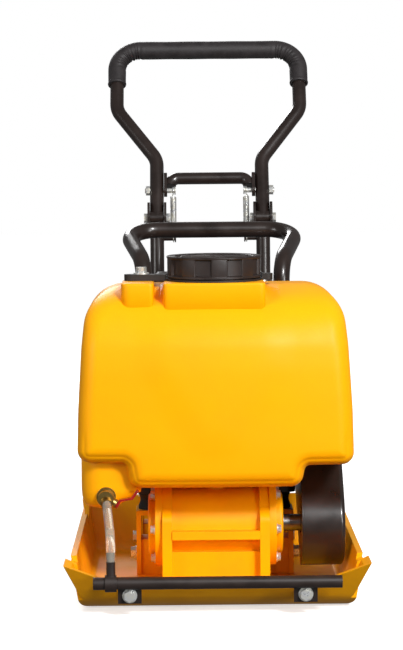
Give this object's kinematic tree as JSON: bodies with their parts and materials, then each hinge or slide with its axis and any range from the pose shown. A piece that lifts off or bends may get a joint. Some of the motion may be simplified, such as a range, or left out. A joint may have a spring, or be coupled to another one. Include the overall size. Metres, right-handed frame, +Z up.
{
  "type": "plate compactor",
  "caption": "Forward plate compactor: pan-shaped base with exciter, belt-driven engine on rubber mounts, front water tank with sprinkler bar, roll bar and folding handle.",
  "frame": {"origin": "on the ground at the centre of the base plate's flat sole, between its side edges", "axes": "+X to the drive-belt side (the viewer's right when facing the water tank), -Y to the front where the sprinkler bar is, +Z up"},
  "size_m": [0.417, 0.7687, 0.805],
  "materials": {
    "yellow_paint": "gloss enamel",
    "yellow_plastic": "blow-moulded",
    "black_paint": "powder coat",
    "black_plastic": "moulded",
    "zinc_steel": "zinc plated",
    "tool_steel": "machined",
    "cast_iron": "as cast",
    "black_rubber": "moulded",
    "foam": "closed-cell foam",
    "cast_aluminium": "as cast",
    "grey_paint": "gloss enamel",
    "brass": "machined",
    "red_paint": "enamel",
    "clear_pvc": "clear"
  },
  "bodies": {
    "machine": {"base_plate": "yellow_paint", "exciter_housing": "yellow_paint", "exciter_cover_left": "yellow_paint", "exciter_cover_right": "yellow_paint", "water_tank": "yellow_plastic", "mount_brackets": "yellow_paint", "engine_deck": "black_paint", "roll_bar": "black_paint", "tank_carrier": "black_paint", "lower_handle": "black_paint", "hinge_brackets": "black_paint", "belt_guard_cover": "black_paint", "belt_guard_plate": "black_paint", "sprinkler_tabs": "black_paint", "sprinkler_bar": "black_plastic", "sprinkler_tee": "black_plastic", "air_filter": "black_plastic", "recoil_cover": "black_plastic", "fan_shroud": "black_plastic", "spark_plug_cap": "black_plastic", "exciter_cover_bolts": "zinc_steel", "mount_bracket_bolts": "zinc_steel", "deck_bolts": "zinc_steel", "hinge_bolts": "zinc_steel", "tether_bolt": "zinc_steel", "sprinkler_bolts": "zinc_steel", "exciter_bearings": "tool_steel", "muffler": "tool_steel", "rocker_cover": "tool_steel", "rubber_mounts": "black_rubber", "drive_belt": "black_rubber", "cap_tether": "black_rubber", "crankcase": "cast_aluminium", "cylinder": "cast_aluminium", "carburettor": "cast_aluminium", "fuel_tank": "grey_paint", "valve_body": "brass", "water_hose": "clear_pvc"},
    "handle": {"upper_handle": "black_paint", "handle_grip": "foam", "handle_studs": "zinc_steel"},
    "yoke": {"latch_yoke": "black_paint"},
    "springs": {"handle_springs": "zinc_steel"},
    "cap_ring": {"cap_gasket": "black_rubber"},
    "cap": {"tank_cap": "black_plastic"},
    "valve": {"valve_lever": "red_paint", "valve_ball": "brass"},
    "crank": {"crankshaft": "tool_steel", "flywheel": "cast_iron", "clutch_hub": "tool_steel"},
    "drum": {"clutch_drum": "tool_steel"},
    "exciter": {"eccentric_shaft": "tool_steel", "exciter_pulley": "cast_iron"},
    "starter": {"starter_grip": "black_plastic"},
    "throttle": {"throttle_lever": "black_plastic"},
    "choke": {"choke_lever": "black_plastic"},
    "fuel_lid": {"fuel_cap": "black_plastic"},
    "exciter_plug": {"exciter_oil_plug": "black_plastic"},
    "engine_plug": {"engine_oil_plug": "black_plastic"},
    "switch": {"engine_switch": "black_plastic"}
  },
  "joints": [
    {"name": "handle_fold", "type": "hinge", "parent": "machine", "child": "handle", "pos_m": [0, 0.29, 0.52], "axis": [1, 0, 0], "range_deg": [0, 115]},
    {"name": "spring_swing", "type": "hinge", "parent": "machine", "child": "springs", "pos_m": [0, 0.29, 0.488], "axis": [1, 0, 0], "range_deg": [0, 72.5], "deforming": ["handle_springs"]},
    {"name": "yoke_swing", "type": "hinge", "parent": "handle", "child": "yoke", "pos_m": [0, 0.31575, 0.56286], "axis": [1, 0, 0], "range_deg": [0, 20], "stiffness_Nm_per_rad": 0.2},
    {"name": "cap_lift", "type": "slide", "parent": "machine", "child": "cap_ring", "axis": [0, 0, 1], "range_m": [0, 0.0091]},
    {"name": "cap_turn", "type": "hinge", "parent": "cap_ring", "child": "cap", "pos_m": [0, -0.12, 0.46], "axis": [0, 0, 1], "range_deg": [0, 540]},
    {"name": "valve_turn", "type": "hinge", "parent": "machine", "child": "valve", "pos_m": [-0.1525, -0.199, 0.151], "axis": [0.8449, 0, -0.5349], "range_deg": [0, 90]},
    {"name": "crank_spin", "type": "hinge", "parent": "machine", "child": "crank", "pos_m": [0, 0.112, 0.245], "axis": [1, 0, 0], "continuous": true},
    {"name": "drum_spin", "type": "hinge", "parent": "machine", "child": "drum", "pos_m": [0, 0.112, 0.245], "axis": [1, 0, 0], "continuous": true},
    {"name": "exciter_spin", "type": "hinge", "parent": "machine", "child": "exciter", "pos_m": [0, -0.085, 0.095], "axis": [1, 0, 0], "continuous": true},
    {"name": "starter_pull", "type": "slide", "parent": "machine", "child": "starter", "axis": [0, 0.766, 0.6428], "range_m": [0, 0.35], "stiffness_N_per_m": 15},
    {"name": "throttle_turn", "type": "hinge", "parent": "machine", "child": "throttle", "pos_m": [0.024, 0.178, 0.262], "axis": [0, 1, 0], "range_deg": [0, 50]},
    {"name": "choke_turn", "type": "hinge", "parent": "machine", "child": "choke", "pos_m": [-0.068, 0.032, 0.37], "axis": [-1, 0, 0], "range_deg": [0, 60]},
    {"name": "fuel_cap_turn", "type": "hinge", "parent": "machine", "child": "fuel_lid", "pos_m": [0, 0.15, 0.45], "axis": [0, 0, 1], "range_deg": [0, 90]},
    {"name": "exciter_plug_turn", "type": "hinge", "parent": "machine", "child": "exciter_plug", "pos_m": [0, -0.085, 0.15], "axis": [0, 0, 1], "range_deg": [0, 720]},
    {"name": "engine_plug_turn", "type": "hinge", "parent": "machine", "child": "engine_plug", "pos_m": [0.03, 0.04, 0.186], "axis": [0, -1, 0], "range_deg": [0, 720]},
    {"name": "switch_turn", "type": "hinge", "parent": "machine", "child": "switch", "pos_m": [-0.035, 0.184, 0.215], "axis": [0, 1, 0], "range_deg": [0, 60]}
  ],
  "couplings": [
    {"joint": "spring_swing", "follows": "handle_fold", "ratio": 0.627},
    {"joint": "cap_lift", "follows": "cap_turn", "m_per_rad": 0.00095493},
    {"joint": "drum_spin", "follows": "crank_spin", "ratio": 1},
    {"joint": "exciter_spin", "follows": "crank_spin", "ratio": 1.6325}
  ]
}
